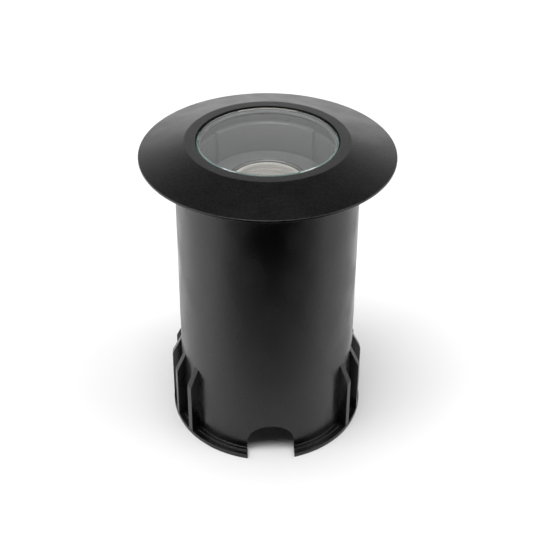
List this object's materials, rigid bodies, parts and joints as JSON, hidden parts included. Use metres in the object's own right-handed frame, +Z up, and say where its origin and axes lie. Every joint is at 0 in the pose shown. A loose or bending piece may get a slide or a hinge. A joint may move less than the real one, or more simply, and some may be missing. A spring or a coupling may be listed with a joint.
{
  "type": "in ground well light",
  "caption": "Buried sleeve with a ribbed foot and cable arches, holding a sealed lamp housing under a shallow domed cover with a flat glass lens.",
  "frame": {"origin": "middle of the sleeve's foot, on the face it stands on", "axes": "+Z up through the lens; -Y towards the front cable arch; +X to the right, through the middle of one group of ribs"},
  "size_m": [0.165, 0.165, 0.2172],
  "materials": {
    "sleeve_plastic": "smooth moulded black polypropylene, semi gloss",
    "housing_plastic": "moulded black glass-filled plastic, satin",
    "gland_nylon": "moulded black nylon, satin",
    "cover_composite": "fine textured black composite, matte",
    "gimbal_plastic": "moulded black plastic, satin",
    "tray_plastic": "moulded black plastic, satin",
    "lens_glass": "clear toughened soda-lime glass, green edge",
    "lamp_glass": "clear pressed glass",
    "quartz": "clear quartz",
    "seal_silicone": "grey silicone, matte",
    "seal_rubber": "black rubber, matte",
    "fastener_steel": "stainless steel, satin",
    "spring_steel": "stainless spring wire, bright",
    "strap_steel": "zinc plated sheet steel",
    "contact_steel": "nickel plated wire",
    "reflector_coating": "pressed glass with a bright metal coating, faceted",
    "ceramic": "unglazed steatite ceramic"
  },
  "bodies": {
    "sleeve": {"ground_sleeve": "sleeve_plastic"},
    "housing": {"fixture_can": "housing_plastic", "gland_body": "gland_nylon", "gland_washer": "seal_rubber", "gland_locknut": "gland_nylon", "gland_seal": "seal_rubber"},
    "gland_cap": {"gland_cap": "gland_nylon"},
    "cover": {"cover_ring": "cover_composite", "glass_lens": "lens_glass", "lens_gasket": "seal_silicone", "cover_gasket": "seal_silicone", "cover_o_ring": "seal_rubber"},
    "aiming_ring": {"aim_ring": "gimbal_plastic", "pivot_screws": "fastener_steel", "pivot_washers": "fastener_steel", "pivot_nuts": "fastener_steel"},
    "tray": {"lamp_tray": "tray_plastic", "lampholder": "ceramic", "lampholder_strap": "strap_steel", "strap_screws": "fastener_steel", "lampholder_screws": "fastener_steel"},
    "lamp": {"lamp_reflector": "reflector_coating", "lamp_front_glass": "lamp_glass", "lamp_base": "ceramic", "lamp_pins": "contact_steel", "lamp_capsule": "quartz"},
    "clip": {"lamp_clip": "spring_steel"}
  },
  "joints": [
    {"name": "fixture_lift", "type": "slide", "parent": "sleeve", "child": "housing", "axis": [0, 0, 1], "range_m": [0, 0.14]},
    {"name": "gland_cap_turn", "type": "hinge", "parent": "housing", "child": "gland_cap", "pos_m": [0, 0, 0.08], "axis": [0, 0, 1], "continuous": true},
    {"name": "cover_lift", "type": "slide", "parent": "housing", "child": "cover", "axis": [0, 0, 1], "range_m": [0, 0.04]},
    {"name": "aim_turn", "type": "hinge", "parent": "housing", "child": "aiming_ring", "pos_m": [0, 0, 0.18], "axis": [0, 0, 1], "range_deg": [-175, 175]},
    {"name": "lamp_tilt", "type": "hinge", "parent": "aiming_ring", "child": "tray", "pos_m": [0, 0, 0.19], "axis": [1, 0, 0], "range_deg": [-15, 15]},
    {"name": "lamp_pull", "type": "slide", "parent": "tray", "child": "lamp", "axis": [0, 0, 1], "range_m": [0, 0.014]},
    {"name": "clip_lift", "type": "slide", "parent": "lamp", "child": "clip", "axis": [0, 0, 1], "range_m": [0, 0.006]}
  ]
}
